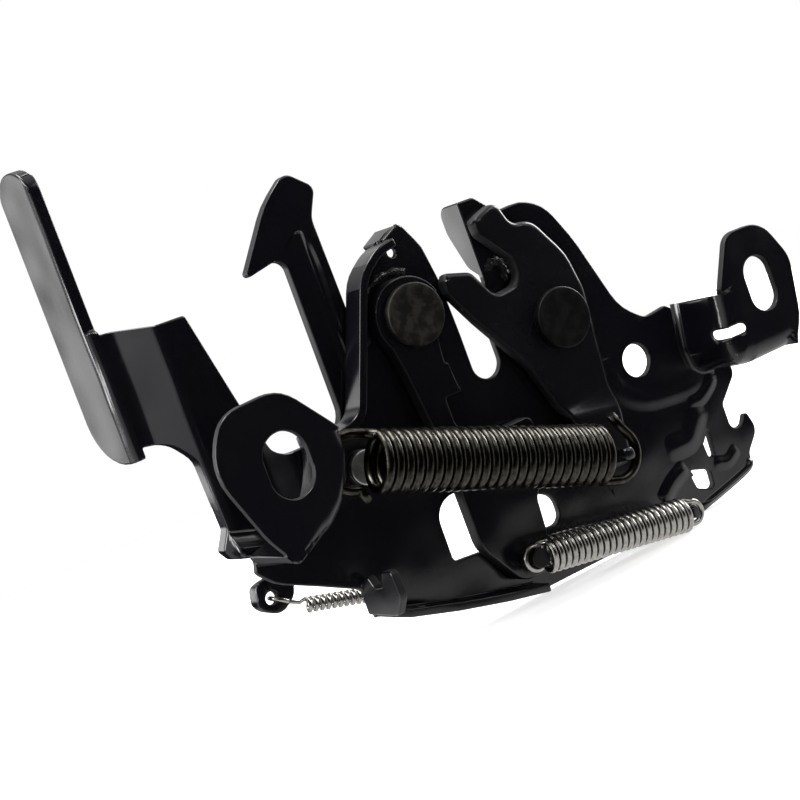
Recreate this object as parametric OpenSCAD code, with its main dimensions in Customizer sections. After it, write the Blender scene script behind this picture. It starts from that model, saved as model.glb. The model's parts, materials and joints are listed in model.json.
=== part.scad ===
// Bonnet latch: base plate with claw, pawl and safety hook.
// X runs from the left ear to the right ear, Z is up and Y goes away from the front.
// The origin is the seat of the latched striker, in the front face of the base plate.

/* [Base plate] */
// Thickness of the base plate's sheet
plate_t = 2.2; // [1.8:0.1:2.6]
// How far the ears stand in front of the base plate
ear_step = 20; // [18.5:0.5:22]
// Width of the slot that the striker drops into
striker_slot_w = 8.6; // [8:0.1:9.4]
// Depth of the slot's round end below the striker's seat
striker_slot_end = 3.5; // [2.5:0.1:4]
// Depth of the guide lips behind the plate
guide_depth = 8; // [5:0.5:10]
// Depth of the flange along the left lobe
lobe_flange = 6; // [4:0.5:8]
// Depth of the lip along the lower edge
lower_lip = 8; // [6:0.5:9]

/* [Ears] */
// Middle of the left ear's slot, across: the ear and its wall go with it
left_slot_x = -70.6; // [-73:0.2:-69]
// Middle of the left ear's slot, up
left_slot_z = -5; // [-6:0.2:-4]
// Width of the left ear's slot
left_slot_w = 11.5; // [9:0.5:13]
// Length of the left ear's slot
left_slot_l = 16; // [14:0.5:18]
// Middle of the right ear's slot, across: the ear and its wall go with it
right_slot_x = 76.7; // [74:0.2:80]
// Middle of the right ear's slot, up
right_slot_z = -11; // [-12:0.2:-10]
// Width of the right ear's slot
right_slot_w = 9; // [8:0.5:10]
// Length of the right ear's slot
right_slot_l = 15; // [12:0.5:17]
// Diameter of the round locating hole
locating_d = 9; // [7:0.5:10]

/* [Pivots] */
// Claw pivot, across
claw_x = 22; // [21.7:0.1:22.3]
// Claw pivot, up
claw_z = 0; // [-0.3:0.1:0.3]
// Pawl pivot, across
pawl_x = -18.8; // [-19.1:0.1:-18.5]
// Pawl pivot, up
pawl_z = 15.1; // [14.8:0.1:15.4]
// Safety hook pivot, across
hook_x = -43; // [-43.5:0.1:-42.5]
// Safety hook pivot, up
hook_z = -15.6; // [-16:0.1:-15.2]
// Diameter of the rivet shanks
shank_d = 8; // [6:0.5:9]
// Diameter of the bushes
bush_d = 11; // [10:0.1:12]
// Radial clearance between a lever and its bush
bush_gap = 0.05; // [0.02:0.01:0.1]
// Radial clearance of a rivet or bush where it is seated
seat_gap = 0.02; // [0.01:0.01:0.04]
// Diameter of the claw and pawl rivet heads
head_d = 16; // [14:0.5:17]
// Thickness of the rivet heads
head_t = 2.4; // [1.6:0.1:3]
// Thickness of the flat washers
washer_t = 0.8; // [0.6:0.1:1]
// Thickness of the spring washers
wave_t = 0.6; // [0.4:0.1:0.8]

/* [Levers] */
// Thickness of the claw and the pawl
lever_t = 4.4; // [4:0.1:4.6]
// Thickness of the safety hook's sheet
hook_t = 3; // [2.4:0.1:3.2]
// Reach of the claw's lower prong from its pivot
claw_reach = 34.8; // [34.4:0.1:35]
// Clearance between moving levers
lever_gap = 0.5; // [0.4:0.1:0.8]
// Forward step of the claw's arm
arm_step = 2.4; // [2:0.1:2.6]
// Length of the claw's tongue in front of the arm
tongue_l = 12; // [11:0.5:14]
// Height of the paddle's top
paddle_top = 81; // [72:1:88]
// Depth of the paddle, from its front edge to its back edge
paddle_depth = 14; // [12:0.5:16]
// How far the paddle stands to the left of the safety hook pivot
paddle_reach = 48.4; // [47:0.2:50]

/* [Springs] */
// Wire diameter of the main spring
main_wire = 2.5; // [2.2:0.1:2.6]
// Outer diameter of the main spring
main_d = 16; // [15:0.1:16.2]
// Turns of the main spring
main_turns = 24; // [20:1:25]
// Wire diameter of the pawl spring
pawl_wire = 1.6; // [1.3:0.1:1.7]
// Outer diameter of the pawl spring
pawl_spring_d = 9.6; // [9:0.1:9.8]
// Turns of the pawl spring
pawl_turns = 23; // [18:1:24]
// Wire diameter of the hook spring
hook_wire = 1.1; // [0.9:0.1:1.2]
// Outer diameter of the hook spring
hook_spring_d = 4.2; // [4:0.1:4.6]
// Turns of the hook spring
hook_turns = 18; // [14:1:20]

/* [Hidden] */
$fn = 64;
arc_step = 12;
over = 1;

claw_at = [claw_x, claw_z];
pawl_at = [pawl_x, pawl_z];
hook_at = [hook_x, hook_z];
ear_y = -ear_step;
lever_y = -washer_t - lever_t;
head_y = lever_y - wave_t - head_t;
hook_y = plate_t + washer_t;
peen_t = 0.4;

// Main spring: axis from the left coil to the right coil, in the plane of its hooks
main_y = ear_y + plate_t + main_wire / 2 + 0.3;
main_loop_at = [left_slot_x + 17, left_slot_z - 5.8];
main_to = [claw_x - 10.1, claw_z - 34.7];
main_r = (main_d - main_wire) / 2;
main_left_loop = 6;
main_right_loop = 5.2;
main_way = unit(main_to - main_loop_at);
main_from = main_loop_at + main_way * main_left_loop;

// Pawl spring
stud_at = [pawl_x + 6.6, pawl_z - 67.9];
stud_d = 3.6;
corner_tongue = [37.6, -60.8];
pawl_spring_y = lever_y - pawl_spring_d / 2 - 0.5;
pawl_r = (pawl_spring_d - pawl_wire) / 2;
pawl_way = unit(corner_tongue - stud_at);
pawl_from = stud_at + pawl_way * 3;
pawl_to = corner_tongue - pawl_way * 2.6;
pawl_loop_r = 2.9;

// Hook spring
hook_hole = [hook_x - 31.8, hook_z - 21.2];
hook_hole_r = 1.7;
flange_y = hook_y + 5;
hook_spring_y = flange_y + hook_t / 2;
hook_from = hook_hole + [8.2, -5.4];
back_tongue = [-33.6, -51];
hook_r = (hook_spring_d - hook_wire) / 2;
hook_loop_r = 2.6;
hook_way = unit(back_tongue - hook_from);
hook_to = back_tongue - hook_way * (hook_loop_r + 0.8);

// Safety hook: bead on its stem, and where its front outline ends and its paddle begins
bead_r = 1.5;
bead_h = 0.6;
paddle_x = hook_x - paddle_reach;
strip_x = paddle_x + 2.6;

function unit(v) = v / norm(v);
function turned(v, a) = [v[0] * cos(a) - v[1] * sin(a), v[0] * sin(a) + v[1] * cos(a)];
function flat(p) = [p[0], p[1]];

// Arc that rounds the corner b = [x, z, radius] between its neighbours a and c
function corner(a, b, c) =
    let (u = unit(flat(a) - flat(b)),
         v = unit(flat(c) - flat(b)),
         half = acos(max(-1, min(1, u * v))) / 2,
         way = sign(v[0] * u[1] - v[1] * u[0]),
         sweep = 180 - 2 * half)
    b[2] == 0 || sweep < 1 ? [flat(b)] :
    let (centre = flat(b) + unit(u + v) * b[2] / sin(half),
         start = flat(b) + u * b[2] / tan(half) - centre,
         steps = ceil(sweep / arc_step))
    [for (i = [0:steps]) centre + turned(start, way * sweep * i / steps)];

// Outline moved to a place, or taken backwards
function placed(at, p) = [for (q = p) [q[0] + at[0], q[1] + at[1], q[2]]];
function backwards(p) = [for (i = [len(p) - 1:-1:0]) p[i]];
function inner(p) = [for (i = [1:len(p) - 2]) p[i]];

// Closed outline with every corner rounded
function rounded(p) =
    [for (i = [0:len(p) - 1]) each corner(p[(i + len(p) - 1) % len(p)], p[i], p[(i + 1) % len(p)])];

// Open path with every inner corner rounded
function bent(p) =
    [flat(p[0]), for (i = [1:len(p) - 2]) each corner(p[i - 1], p[i], p[i + 1]), flat(p[len(p) - 1])];

// Path moved sideways to its left by d, mitred at its points
function beside(p, d) =
    [for (i = [0:len(p) - 1])
        let (a = unit(p[min(i + 1, len(p) - 1)] - p[min(i, len(p) - 2)]),
             b = unit(p[max(i, 1)] - p[max(i - 1, 0)]),
             m = unit([-a[1] - b[1], a[0] + b[0]]))
        p[i] + m * d / (m * [-b[1], b[0]])];

// Strip of a given thickness to the left of a bent path
module strip(path, thick) {
    line = bent(path);
    side = beside(line, thick);
    polygon(concat(line, [for (i = [len(side) - 1:-1:0]) side[i]]));
}

// Front view outline made into sheet from y to y + thick
module sheet(y, thick) {
    translate([0, y + thick, 0]) rotate([90, 0, 0]) linear_extrude(thick) children();
}

// Side view outline (y, z) made into a plate from x to x + thick
module side_sheet(x, thick) {
    translate([x, 0, 0]) rotate([90, 0, 90]) linear_extrude(thick) children();
}

// Round bar along Y at a place in the front view
module bar(at, d, y0, y1) {
    translate([at[0], y1, at[1]]) rotate([90, 0, 0]) cylinder(d = d, h = y1 - y0);
}

// Ring along Y
module ring(at, d, bore, y0, y1) {
    difference() {
        bar(at, d, y0, y1);
        bar(at, bore, y0 - over, y1 + over);
    }
}

// Slot in the front view with round ends above and below
module slot_2d(w, l) {
    translate([0, (l - w) / 2]) circle(d = w);
    translate([0, (w - l) / 2]) circle(d = w);
    square([w, l - w], center = true);
}

// Paths that the base plate and its walls share
left_wall = placed([left_slot_x, left_slot_z],
                   [[16, 2.8, 0], [16.2, -2, 8], [13.6, -8.5, 12], [10.1, -13.6, 10], [5.6, -17.3, 8],
                    [-8, -21.2, 0]]);
right_wall = placed([right_slot_x, right_slot_z],
                    [[-14.1, 1.6, 0], [-16.3, -11, 8], [-15.1, -18, 4], [-8.7, -19.2, 12],
                     [5.3, -19.2, 0]]);
lobe_wall = [[-16.6, 34.7, 0], [-22, 33.8, 11], [-28.8, 29, 12], [-42.4, -2.6, 5], [-50, -4.4, 4],
             left_wall[0]];
lower_path = [[-54, -50.6, 0], [-49, -52.8, 4], [-36, -56.8, 20], [-22, -60.4, 30], [-9.6, -63, 0]];

module plate_outline() {
    left_slot = -striker_slot_w / 2;
    right_slot = striker_slot_w / 2;
    difference() {
        polygon(rounded(concat([
            [-22, 33.8, 11], [-16.4, 34.7, 3], [-10.2, 37.8, 2], [-6.2, 30, 12], [left_slot - 0.4, 20, 10],
            [left_slot, 5, 6], [left_slot, -striker_slot_end, 0], [right_slot, -striker_slot_end, 0],
            [right_slot, 4, 6], [8, 16, 6], [8, 37, 1], [13, 37, 2], [18.5, 31.5, 3], [31.5, 32, 12],
            [38.5, 17, 30], [45, -4, 14], [52, -9.6, 5], [right_slot_x - 17.1, -8.8, 1.5],
            [right_slot_x - 14.1, -11.5, 1], right_wall[1], right_wall[2], [74, right_wall[3][1], 2],
            [74, -34, 3], [67, -40.4, 2], [67, -48, 2.2], [71, -48, 2],
            [73.5, -44.4, 0.8], [75.4, -50.8, 4], [70.3, -55.8, 3], [69.6, -60.4, 2], [49, -65, 4],
            [43, -64, 6], [-6, -63.8, 4], [-9.6, -63, 0], [-22, -60.4, 30], [-36, -56.8, 20],
            [-49, -52.8, 4], [-54, -50.6, 1], [-55, -43, 2], [-66, -37.4, 6], [-76, -32.6, 12],
            [left_slot_x - 9, -28.4, 1.5], [left_slot_x - 8, -25.4, 1]],
            backwards(inner(left_wall)),
            [[left_slot_x + 16, -3, 0.5], [-50, -4.4, 4], [-42.4, -2.6, 5], [-28.8, 29, 12]])));
        translate([0, -striker_slot_end]) circle(d = striker_slot_w);
        translate([44.6, -19.3]) circle(d = locating_d);
        translate([-14.9, 31.3]) circle(d = 2.6);
        polygon(rounded([[-28.4, -31, 6], [-19, -31, 4], [5.4, -42.5, 4], [5.4, -50, 3],
                         [-28.6, -46.8, 1.5]]));
        polygon(rounded([[56, -43.4, 0.8], [59.2, -45, 1.2], [58.8, -52.6, 0.8], [56.6, -51.8, 0.8]]));
        polygon(rounded([[48.6, -52.8, 1], [55.4, -55, 1], [55, -60.6, 1.5], [49.6, -58.4, 1.5]]));
    }
}

module left_ear_2d() {
    difference() {
        polygon(rounded(concat(
            placed([left_slot_x, left_slot_z],
                   [[4.2, 17.4, 10], [-12, 16.6, 9], [-18.4, 5, 14], [-11.4, -14, 12], [-6.6, -22, 1]]),
            backwards(inner(left_wall)),
            [left_wall[0] + [0, 0, 1]])));
        translate([left_slot_x, left_slot_z]) slot_2d(left_slot_w, left_slot_l);
    }
}

module right_ear_2d() {
    difference() {
        polygon(rounded(concat(
            placed([right_slot_x, right_slot_z], [[6.6, 15.6, 8.5], [-6.1, 15.8, 5]]),
            [right_wall[0] + [0, 0, 1]],
            inner(right_wall),
            [right_wall[4] + [0, 0, 1]],
            placed([right_slot_x, right_slot_z], [[9.5, -12, 14], [12.4, 3.6, 8.5]]))));
        translate([right_slot_x, right_slot_z]) slot_2d(right_slot_w, right_slot_l);
    }
}

// Bracket across the left end of the lower lip, with the notch for a cable sheath
module cable_bracket() {
    side_sheet(-55, plate_t)
        polygon(rounded([[plate_t, -42.6, 1], [-4.4, -39.4, 1], [-6.2, -42.6, 1.6], [-10.4, -42.2, 1.6],
                         [-12.2, -38.4, 1], [-17.6, -38, 1.5], [-18, -45, 3], [-13, -49.8, 3],
                         [plate_t, -49.8, 0]]));
}

module base_plate() {
    color("#15161a") difference() {
        union() {
            sheet(0, plate_t) plate_outline();
            sheet(ear_y, plate_t) left_ear_2d();
            sheet(ear_y, plate_t) right_ear_2d();
            sheet(ear_y, ear_step + plate_t) strip(left_wall, -plate_t);
            sheet(ear_y, ear_step + plate_t) strip(right_wall, plate_t);
            sheet(-lobe_flange, lobe_flange + plate_t) strip(lobe_wall, plate_t);
            sheet(-lower_lip, lower_lip + plate_t) strip(lower_path, plate_t);
            cable_bracket();
            // Guide lips beside the mouth of the striker slot
            side_sheet(8, plate_t)
                polygon(rounded([[0, 16, 0], [guide_depth - 2, 20, 4], [guide_depth + plate_t, 30, 6],
                                 [guide_depth + plate_t, 37, 3], [0, 37, 0]]));
            sheet(0, guide_depth) strip([[-4.7, 18, 0], [-6.2, 30, 5], [-9.6, 36, 0]], plate_t);
            // Stop for the safety hook's stem
            sheet(0, guide_depth + 4) strip([[-10.8, 37.4, 0], [-16, 34.6, 0]], plate_t);
            // Tongues for the far hooks of the pawl spring and the hook spring
            translate([corner_tongue[0] - 1, pawl_spring_y - 2, corner_tongue[1] - 1.4])
                cube([2, plate_t - pawl_spring_y + 2, 2.8]);
            translate([back_tongue[0] - 1, over, back_tongue[1] - 0.9])
                cube([2, hook_spring_y + 0.6, 1.8]);
        }
        // Windows in the left wall for the wires of the main spring's loop
        for (side = [1, -1])
            main_frame() translate([-main_left_loop, 0, side * (main_r - 1)])
                cube([16, main_wire + 1, main_wire + 4], center = true);
        // Relief slot across the bend between the right ear and its wall
        translate([right_slot_x - 15.2, ear_y + 1, right_slot_z - 9]) rotate([0, 0, 45])
            rotate([0, 90, 0]) translate([0, 0, -8]) linear_extrude(16) slot_2d(3, 9);
        for (at = [claw_at, pawl_at, hook_at])
            bar(at, shank_d + 2 * seat_gap, -over, plate_t + over);
        // Small drain slot in the lower lip
        translate([-45.4, -lower_lip + 1.6, -58]) cube([3.4, 3.2, 10]);
    }
}

// Frame of the main spring: X along its axis from the left coil, Z up across it
module main_frame() {
    translate([main_from[0], main_y, main_from[1]])
        rotate([0, -atan2(main_way[1], main_way[0]), 0]) children();
}

module claw_2d() {
    difference() {
        polygon(rounded([
            [7.2, 34.2, 4], [16.2, 33.6, 3], [18.4, 27, 3.5], [24.4, 26.6, 6], [31.4, 15, 14],
            [33, 5, 8], [31.4, -12, 10], [29.6, -30, 8], [27.6, -42, 3], [18.6, -42, 3],
            [14, -24, 10], [9, -9, 8], [-1.4, 7, 6], [-6.8, 16.4, 2.5], [-6.4, 22, 1.8],
            [2, 19.6, 3], [6.6, 11.8, 3.2], [14.8, 12.6, 3.5], [15, 18.4, 3], [7.6, 27.6, 3]]));
        translate(claw_at) difference() {
            circle(r = 60);
            circle(r = claw_reach, $fn = 96);
            translate([-20, -60]) square(70);
        }
    }
}

module claw() {
    tongue_at = main_to + main_way * (main_right_loop + main_r - main_wire / 2 - 2.8);
    tongue_w = 3.6;
    step_top = -21;
    step_low = -26.5;
    color("#1c1d20") difference() {
        union() {
            intersection() {
                sheet(lever_y - arm_step, lever_t + arm_step) claw_2d();
                side_sheet(claw_x - 60, 120)
                    polygon([[lever_y, 60], [lever_y + lever_t, 60], [lever_y + lever_t, step_top],
                             [lever_y + lever_t - arm_step, step_low],
                             [lever_y + lever_t - arm_step, -60], [lever_y - arm_step, -60],
                             [lever_y - arm_step, step_low], [lever_y, step_top]]);
            }
            sheet(lever_y - arm_step - tongue_l, tongue_l + over)
                translate(tongue_at) square(tongue_w, center = true);
        }
        bar(claw_at, bush_d + 2 * bush_gap, lever_y - over, over);
    }
}

module pawl_2d() {
    tooth_z = -7.2;
    difference() {
        union() {
            translate(pawl_at) circle(r = 10);
            polygon(rounded([
                [-28.4, 17, 0], [-25.6, 2, 12], [-22.8, -22, 20], [-22.6, -46, 8], [-14.4, -58.4, 5],
                [-5.2, -58.4, 4], [-3, -48, 5], [-2.4, -40, 4], [4, -33, 4], [4, -20, 2],
                [-11, -20, 5], [-17.6, -15, 4], [-17.6, tooth_z, 0.8], [-8, tooth_z, 0],
                [-10, 18, 0]]));
        }
        // Clear of the claw's rim at rest along the tooth, and also when engaged above it
        intersection() {
            translate(claw_at) circle(r = claw_reach + lever_gap, $fn = 96);
            translate([-30, tooth_z]) square([60, 50]);
        }
        intersection() {
            translate(claw_at) circle(r = claw_reach + lever_gap + 1, $fn = 96);
            translate([-30, tooth_z + 8]) square([60, 50]);
        }
    }
}

module pawl() {
    color("#15161a") difference() {
        sheet(lever_y, lever_t) pawl_2d();
        bar(pawl_at, bush_d + 2 * bush_gap, lever_y - over, over);
        bar(stud_at, stud_d - 1 + 2 * seat_gap, lever_y - over, over);
    }
}

module cable_stud() {
    color("#26241f") {
        bar(stud_at, stud_d - 1, lever_y, lever_y + lever_t);
        bar(stud_at, stud_d, pawl_spring_y - pawl_wire - 0.4, lever_y);
        bar(stud_at, stud_d + 1.4, pawl_spring_y - pawl_wire - 1.2, pawl_spring_y - pawl_wire - 0.4);
    }
}

// Front view of the safety hook with its lever, web and lower tab
module hook_front() {
    polygon(rounded([
        [-34.2, 59, 3.2], [-27.4, 53.2, 2.4], [-31.2, 46, 6], [-30.6, 10, 20], [-29.6, -20, 8],
        [-38, -29, 8], [-56, -26.6, 10], [-65, -27, 2], [-69, -38.6, 4], [-73.6, -41.6, 4], [-79, -38.6, 3.4],
        [-78, -32.2, 2.4], [-73.4, -31.6, 1], [-72.6, -26.8, 1], [-79.8, -24.6, 1.5],
        [-81, -22, 1.5], [-79, -17, 4], [-79.4, 1.4, 7], [-83, 7.4, 6], [strip_x, 8.4, 0],
        [strip_x, 37.4, 0], [-86, 37.2, 1], [-78, 35, 2], [-70, 34.8, 1], [-61.6, -5.4, 4],
        [-42.4, -5.4, 6], [-42.2, 39.8, 3], [-54.4, 37.4, 0.9], [-42.4, 53, 24]]));
}

// Side view of the paddle
module paddle_side() {
    front = flange_y + 10.6;
    back = front + paddle_depth;
    polygon(rounded([[front - 5.6, 5.6, 6], [front - 5.6, 37.4, 0], [front, 38.6, 1],
                     [front, paddle_top, 6.6], [back, paddle_top, 6.6], [back, 5.2, 12]]));
}

module safety_hook() {
    bend = 4;
    plan = [[-20, hook_y, 0], [-58.4, hook_y, bend], [-64.4, flange_y, bend], [-78, flange_y, bend],
            [paddle_x + 5.1, flange_y + 9, bend], [paddle_x, flange_y + 9, bend],
            [paddle_x - 3.4, flange_y + paddle_depth + 12, 0]];
    color("#15161a") difference() {
        union() {
            intersection() {
                translate([0, 0, -60]) linear_extrude(160) strip(plan, -hook_t);
                union() {
                    sheet(0, 60) hook_front();
                    side_sheet(strip_x - 20, 20.2) paddle_side();
                }
            }
            // Raised bead along the stem
            translate([-36.4, hook_y + bead_r - bead_h, 2]) cylinder(r = bead_r, h = 42);
        }
        bar(hook_at, bush_d + 2 * bush_gap, 0, 30);
        bar(hook_hole, 2 * hook_hole_r, 0, 30);
    }
}

// Rivet with its large head in front and its end peened flush behind the plate
module front_rivet(at) {
    color("#3a372f") {
        bar(at, head_d, head_y, head_y + head_t);
        bar(at, shank_d, head_y, plate_t);
        bar(at, shank_d + 2, plate_t, plate_t + peen_t);
    }
}

module claw_rivet() { front_rivet(claw_at); }
module pawl_rivet() { front_rivet(pawl_at); }

// Rivet of the safety hook: small peened end in front, head behind the lever
module hook_rivet() {
    back = hook_y + hook_t + wave_t;
    color("#c9c9c4") {
        bar(hook_at, shank_d + 1, -1.6, 0);
        bar(hook_at, shank_d, -1.6, back);
        bar(hook_at, head_d, back, back + head_t);
    }
}

module bush(at, y0, y1) { color("#8a8a86") ring(at, bush_d, shank_d + 2 * seat_gap, y0, y1); }

module claw_bush() { bush(claw_at, head_y + head_t, 0); }
module pawl_bush() { bush(pawl_at, head_y + head_t, 0); }
module hook_bush() { bush(hook_at, plate_t, hook_y + hook_t + wave_t); }

// Flat washers between each lever and the plate
module flat_washer(at, wide, y0, y1) {
    color("#2b2b2b") ring(at, bush_d + wide, bush_d + 2 * seat_gap, y0, y1);
}

module claw_washer() { flat_washer(claw_at, 7, -washer_t, 0); }
module pawl_washer() { flat_washer(pawl_at, 4, -washer_t, 0); }
module hook_washer() { flat_washer(hook_at, 7, plate_t, hook_y); }

// Spring washers between each lever and its rivet head
module wave_washer(at, y) { color("#77777a") ring(at, head_d - 1, bush_d + 2 * seat_gap, y, y + wave_t); }

module claw_wave_washer() { wave_washer(claw_at, lever_y - wave_t); }
module pawl_wave_washer() { wave_washer(pawl_at, lever_y - wave_t); }
module hook_wave_washer() { wave_washer(hook_at, hook_y + hook_t); }

// Points of an arc in the plane of two unit vectors
function arc(centre, u, v, r, from, to, n) =
    [for (i = [0:n]) let (a = from + (to - from) * i / n) centre + r * (u * cos(a) + v * sin(a))];

// Helix about X from x0 to x1, from the angle given in turns, measured from +Z towards -Y
function helix(x0, x1, r, from, to, per_turn) =
    let (n = ceil((to - from) * per_turn))
    [for (i = [0:n])
        let (t = from + (to - from) * i / n)
        [x0 + (x1 - x0) * i / n, -r * sin(360 * t), r * cos(360 * t)]];

// Round wire swept along a list of points
module wire(path, r, sides) {
    n = len(path);
    tangent = [for (i = [0:n - 1]) unit(path[min(i + 1, n - 1)] - path[max(i - 1, 0)])];
    first = unit(cross(tangent[0], [0.31, 0.52, 0.8]));
    side = [for (i = 0, u = first; i < n;
                 i = i + 1, u = i < n ? unit(u - (u * tangent[i]) * tangent[i]) : u) u];
    points = [for (i = [0:n - 1], k = [0:sides - 1])
                 let (v = cross(tangent[i], side[i]), a = 360 * k / sides)
                 path[i] + r * (side[i] * cos(a) + v * sin(a))];
    faces = concat(
        [[for (k = [sides - 1:-1:0]) k]],
        [for (i = [0:n - 2], k = [0:sides - 1])
            let (a = i * sides + k, b = i * sides + (k + 1) % sides)
            each [[a, b, b + sides], [a, b + sides, a + sides]]],
        [[for (k = [0:sides - 1]) (n - 1) * sides + k]]);
    polyhedron(points, [for (f = faces) [for (k = [len(f) - 1:-1:0]) f[k]]]);
}

x_axis = [1, 0, 0];
y_axis = [0, 1, 0];
z_axis = [0, 0, 1];

module main_spring() {
    run = norm(main_to - main_from);
    left = [-main_left_loop, 0, 0];
    right = [run + main_right_loop, 0, 0];
    path = concat(
        [left + [4, 0, -main_r - 2.5]],
        arc(left, x_axis, z_axis, main_r, 285, 90, 14),
        [[-2.5, 0, main_r]],
        helix(0, run, main_r, 0.05, main_turns + 0.45, 12),
        [[run + 0.6, 0, -main_r]],
        arc(right, x_axis, z_axis, main_r, -80, 50, 9),
        [right + [-1, 0, main_r + 3.4]]);
    color("#4a4638") main_frame() wire(path, main_wire / 2, 8);
}

module pawl_spring() {
    run = norm(pawl_to - pawl_from);
    left = [-norm(pawl_from - stud_at), 0, 0];
    right = [run + norm(corner_tongue - pawl_to), 0, 0];
    path = concat(
        arc(left, x_axis, z_axis, pawl_loop_r, 300, 90, 10),
        helix(0, run, pawl_r, 0.07, pawl_turns - 0.07, 10),
        arc(right, x_axis, z_axis, pawl_loop_r, 90, -140, 11));
    color("#b9b7b0") translate([pawl_from[0], pawl_spring_y, pawl_from[1]])
        rotate([0, -atan2(pawl_way[1], pawl_way[0]), 0]) wire(path, pawl_wire / 2, 6);
}

module hook_spring() {
    run = norm(hook_to - hook_from);
    turn = atan2(hook_way[1], hook_way[0]);
    hole = turned(hook_hole - hook_from, -turn);
    to_coil = -unit([hole[0], 0, hole[1]]);
    left = [hole[0], 0, hole[1]] + to_coil * hook_loop_r;
    right = [run + hook_loop_r, 0, 0];
    path = concat(
        arc(left, to_coil, y_axis, hook_loop_r, -60, -270, 9),
        [left + to_coil * 2 + y_axis * hook_loop_r * 0.8, [-1, hook_r * 0.9, hook_r * 0.5]],
        helix(0, run, hook_r, 0, hook_turns, 8),
        [[run + 0.8, 0, hook_r]],
        arc(right, x_axis, z_axis, hook_loop_r, 110, -150, 10));
    color("#b9b7b0") translate([hook_from[0], hook_spring_y, hook_from[1]])
        rotate([0, -turn, 0]) wire(path, hook_wire / 2, 6);
}

base_plate();
claw();
claw_rivet();
claw_bush();
claw_washer();
claw_wave_washer();
pawl();
pawl_rivet();
pawl_bush();
pawl_washer();
pawl_wave_washer();
cable_stud();
safety_hook();
hook_rivet();
hook_bush();
hook_washer();
hook_wave_washer();
main_spring();
pawl_spring();
hook_spring();
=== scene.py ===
import json
import math

import bmesh
import bpy
import numpy as np
from mathutils import Matrix, Vector


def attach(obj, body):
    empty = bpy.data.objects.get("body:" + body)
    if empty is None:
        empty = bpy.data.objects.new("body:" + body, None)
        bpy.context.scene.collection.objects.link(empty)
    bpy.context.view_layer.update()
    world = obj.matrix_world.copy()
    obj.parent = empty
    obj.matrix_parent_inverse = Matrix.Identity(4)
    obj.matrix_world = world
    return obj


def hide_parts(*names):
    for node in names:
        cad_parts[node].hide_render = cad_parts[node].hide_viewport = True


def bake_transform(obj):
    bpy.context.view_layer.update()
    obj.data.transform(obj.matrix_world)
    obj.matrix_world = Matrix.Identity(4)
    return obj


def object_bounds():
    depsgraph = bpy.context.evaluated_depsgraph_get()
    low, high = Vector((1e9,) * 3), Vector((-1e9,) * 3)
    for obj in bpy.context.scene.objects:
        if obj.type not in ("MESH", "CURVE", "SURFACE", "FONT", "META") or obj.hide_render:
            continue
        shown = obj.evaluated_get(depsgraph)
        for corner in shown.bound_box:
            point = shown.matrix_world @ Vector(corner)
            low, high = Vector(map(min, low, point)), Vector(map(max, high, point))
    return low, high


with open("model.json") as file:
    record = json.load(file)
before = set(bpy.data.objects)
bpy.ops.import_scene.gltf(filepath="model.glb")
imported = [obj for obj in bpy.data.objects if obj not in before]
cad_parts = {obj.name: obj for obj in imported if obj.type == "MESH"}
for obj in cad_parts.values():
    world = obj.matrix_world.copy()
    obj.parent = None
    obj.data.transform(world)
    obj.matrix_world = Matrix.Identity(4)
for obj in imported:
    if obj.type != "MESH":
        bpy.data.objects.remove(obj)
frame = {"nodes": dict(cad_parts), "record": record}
cad_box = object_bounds()
nodes = frame["nodes"]
body_of_node = {n: body for body, names in frame["record"]["behaviour"]["bodies"].items() for n in names}
slot_of_node = {part["node"]: part["material_slot"] for part in frame["record"]["subparts"]}
MM = 0.001

# Measures of the latch in millimetres, in the frame of the striker's seat
CLAW_PIVOT = (22.0, 0.0)
PAWL_PIVOT = (-18.8, 15.1)
HOOK_PIVOT = (-43.0, -15.6)
EAR_FRONT = -20.0
PLATE_FRONT = 0.0
PLATE_T = 2.2
LEVER_T = 4.4
HOOK_T = 3.0
HOOK_FRONT = 3.0
LEVER_FACE = 8.0
HEAD_FRONT = -8.2
HEAD_R = 8.0
HEAD_T = 2.4
SHANK_R = 4.0
# Thickness given for a piece that isn't cut from sheet
NO_SHEET = 0.1


# Node helpers for the materials

def put(tree, kind, inputs=(), **settings):
    """Adds a node, sets its own settings, and fills or links the sockets named in inputs."""
    made = tree.nodes.new(kind)
    for key, value in settings.items():
        setattr(made, key, value)
    for key, value in dict(inputs).items():
        socket = made.inputs[key]
        if isinstance(value, bpy.types.NodeSocket):
            tree.links.new(value, socket)
        else:
            socket.default_value = value
    return made


def sums(tree, operation, *values, clamp=False):
    """One step of arithmetic on values."""
    return put(tree, "ShaderNodeMath", enumerate(values), operation=operation, use_clamp=clamp).outputs[0]


def noise(tree, place, scale, detail):
    """Noise over a place, finer with a larger scale."""
    return put(tree, "ShaderNodeTexNoise", {"Vector": place, "Scale": scale, "Detail": detail}).outputs["Fac"]


def stretched(tree, place, factors):
    """Place with each of its coordinates times its own factor."""
    return put(tree, "ShaderNodeVectorMath", {0: place, 1: factors}, operation="MULTIPLY").outputs[0]


def mixed(tree, share, a, b):
    """Value that goes from a to b with a share."""
    return put(tree, "ShaderNodeMix", {"Factor": share, "A": a, "B": b}).outputs["Result"]


def tinted(tree, share, a, b):
    """Colour that goes from a to b with a share."""
    return put(tree, "ShaderNodeMix", {"Factor": share, "A": a, "B": b}, data_type="RGBA").outputs[2]


def ramp(tree, value, low, high):
    """Value between low and high spread over 0 to 1, smoothly."""
    return put(tree, "ShaderNodeMapRange", {"Value": value, "From Min": low, "From Max": high},
               interpolation_type="SMOOTHSTEP").outputs["Result"]


def rgb(red, green, blue):
    """Opaque colour."""
    return (red, green, blue, 1.0)


FLOAT = "NodeSocketFloat"
COLOR = "NodeSocketColor"
VECTOR = "NodeSocketVector"


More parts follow.
